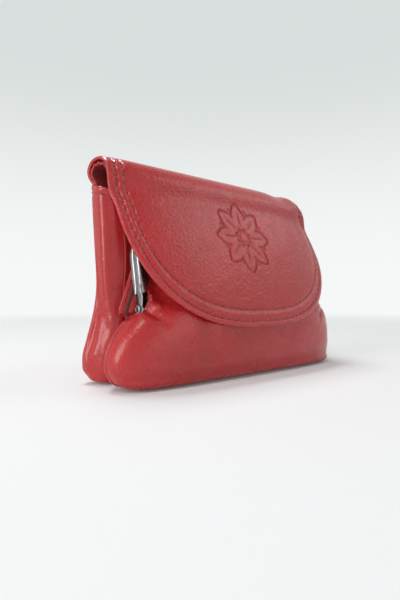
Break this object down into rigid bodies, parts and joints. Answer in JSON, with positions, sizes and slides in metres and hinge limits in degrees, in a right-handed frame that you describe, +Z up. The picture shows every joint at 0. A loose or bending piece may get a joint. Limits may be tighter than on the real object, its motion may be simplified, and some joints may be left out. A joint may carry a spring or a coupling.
{
  "type": "coin purse",
  "caption": "Leather coin purse with a kiss-lock frame pouch in front, a gusseted pocket behind and a flap that folds over from the back.",
  "frame": {"origin": "centre of the bounding box in plan, on the surface that the purse stands on", "axes": "+X to the right of someone who faces the flap, +Y towards the back of the purse, +Z up"},
  "size_m": [0.131, 0.0428, 0.09],
  "materials": {
    "outer_leather": "smooth red calf leather with a fine grain and a soft shine",
    "lining_leather": "thin lining leather, matt, a shade lighter than the outside",
    "pouch_cloth": "plain woven cotton lining, dark red, matt",
    "frame_metal": "nickel-plated steel, bright with fine handling marks",
    "snap_metal": "nickel-plated snap cap over a magnet",
    "paper_cord": "twisted brown paper"
  },
  "bodies": {
    "purse": {"back_panel": "outer_leather", "back_lining": "lining_leather", "left_gusset": "outer_leather", "right_gusset": "outer_leather", "pocket_divider": "outer_leather", "pouch_bag": "outer_leather", "pouch_lining": "pouch_cloth", "rear_frame": "frame_metal", "rear_frame_cord": "paper_cord", "rear_clasp_ball": "frame_metal", "left_hinge_rivet": "frame_metal", "right_hinge_rivet": "frame_metal"},
    "flap": {"flap_leather": "outer_leather", "flap_lining": "lining_leather", "flap_snap_stud": "snap_metal"},
    "front_frame_half": {"front_frame": "frame_metal", "front_frame_cord": "paper_cord", "front_clasp_ball": "frame_metal", "pouch_front_panel": "outer_leather", "pouch_front_lining": "pouch_cloth", "pouch_snap_socket": "snap_metal"}
  },
  "joints": [
    {"name": "flap_hinge", "type": "hinge", "parent": "purse", "child": "flap", "pos_m": [0, 0.01039, 0.09], "axis": [-1, 0, 0], "range_deg": [0, 160]},
    {"name": "frame_hinge", "type": "hinge", "parent": "purse", "child": "front_frame_half", "pos_m": [0, -0.00561, 0.0297], "axis": [1, 0, 0], "range_deg": [0, 64]}
  ],
  "couplings": [
    {"joint": "frame_hinge", "follows": "flap_hinge", "ratio": 0.4}
  ]
}
